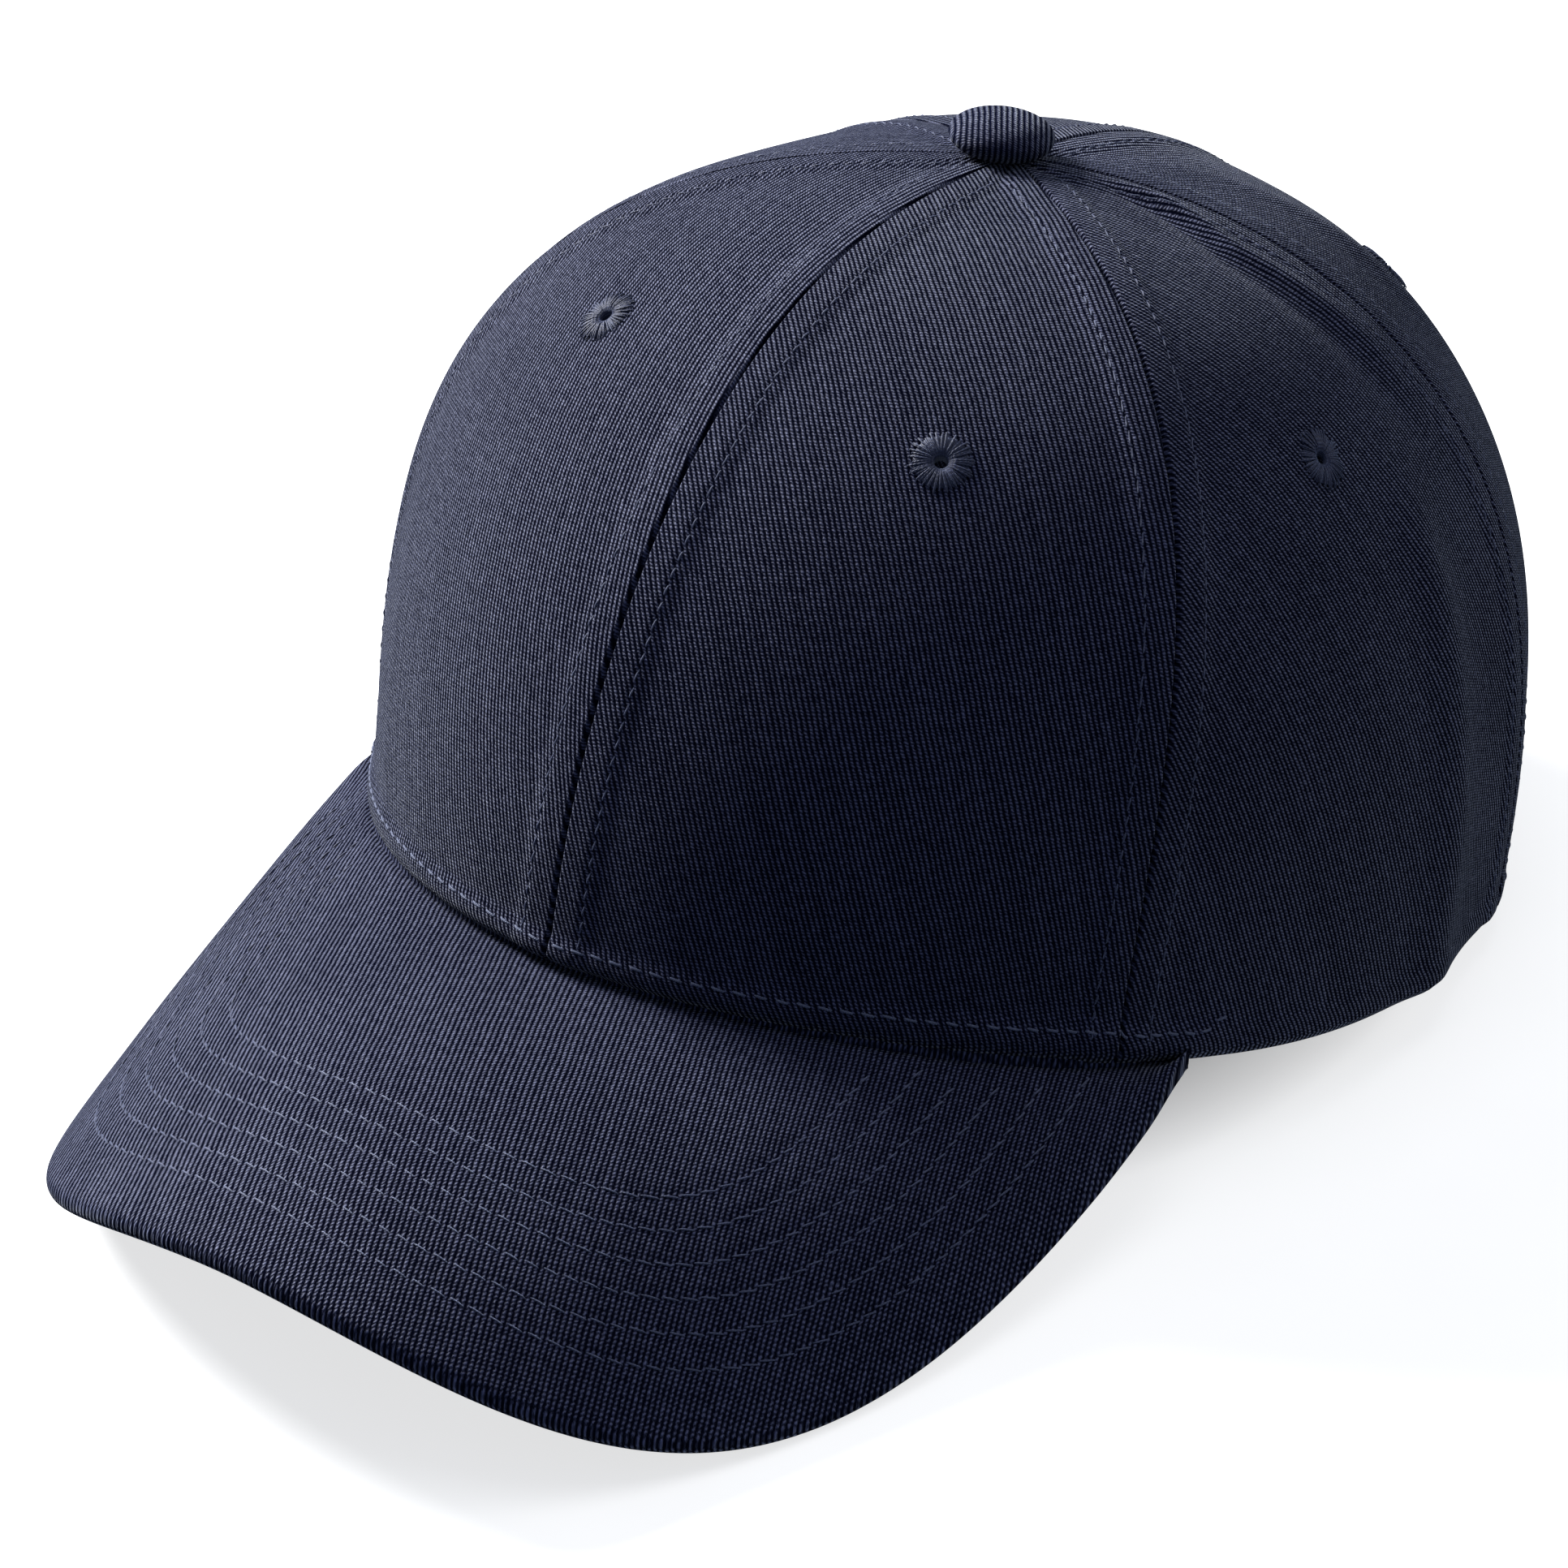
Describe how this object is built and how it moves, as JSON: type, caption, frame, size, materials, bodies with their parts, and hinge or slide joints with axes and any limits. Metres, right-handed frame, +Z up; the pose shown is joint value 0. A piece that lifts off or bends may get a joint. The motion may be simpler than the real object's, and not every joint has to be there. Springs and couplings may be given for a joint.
{
  "type": "baseball cap",
  "caption": "Structured baseball cap in navy twill: panelled crown with stitched eyelets, covered top button, curved row-stitched visor and a buckled strap at the back.",
  "frame": {"origin": "centre of the cap's footprint on the table it stands on", "axes": "+Z up, -Y the way the visor points, +X towards the wearer's left; length runs along Y"},
  "size_m": [0.17, 0.2777, 0.1302],
  "materials": {
    "navy_twill": "cotton twill, matt, fine slanting ribs",
    "visor_twill": "cotton twill stretched over the board",
    "button_twill": "cotton twill stretched over the dome",
    "trim_twill": "folded cotton twill with stitched edges",
    "seam_tape": "plain woven cotton tape",
    "sweatband_cloth": "brushed cotton twill",
    "buckram": "stiff open-weave cotton",
    "visor_board": "moulded polyethylene sheet",
    "eyelet_thread": "satin-stitched polyester thread",
    "button_metal": "pressed tinplate",
    "buckle_metal": "antique brass, brushed"
  },
  "bodies": {
    "cap": {"front_panel_left": "navy_twill", "front_panel_right": "navy_twill", "side_panel_left": "navy_twill", "side_panel_right": "navy_twill", "back_panel_left": "navy_twill", "back_panel_right": "navy_twill", "visor_top_cover": "visor_twill", "visor_under_cover": "visor_twill", "button_cover": "button_twill", "opening_binding": "trim_twill", "strap": "trim_twill", "keeper_loop": "trim_twill", "centre_front_tape": "seam_tape", "front_side_tape_left": "seam_tape", "front_side_tape_right": "seam_tape", "side_back_tape_left": "seam_tape", "side_back_tape_right": "seam_tape", "centre_back_tape": "seam_tape", "sweatband": "sweatband_cloth", "front_stiffener_left": "buckram", "front_stiffener_right": "buckram", "visor_board": "visor_board", "eyelets": "eyelet_thread", "button_shell": "button_metal", "button_post": "button_metal", "button_washer": "button_metal", "buckle_frame": "buckle_metal", "buckle_pin": "buckle_metal"},
    "lever": {"buckle_lever": "buckle_metal"}
  },
  "joints": [
    {"name": "buckle_lever_hinge", "type": "hinge", "parent": "cap", "child": "lever", "pos_m": [-0.01598, 0.13365, 0.01086], "axis": [0, -0.134, -0.991], "range_deg": [0, 100]}
  ]
}
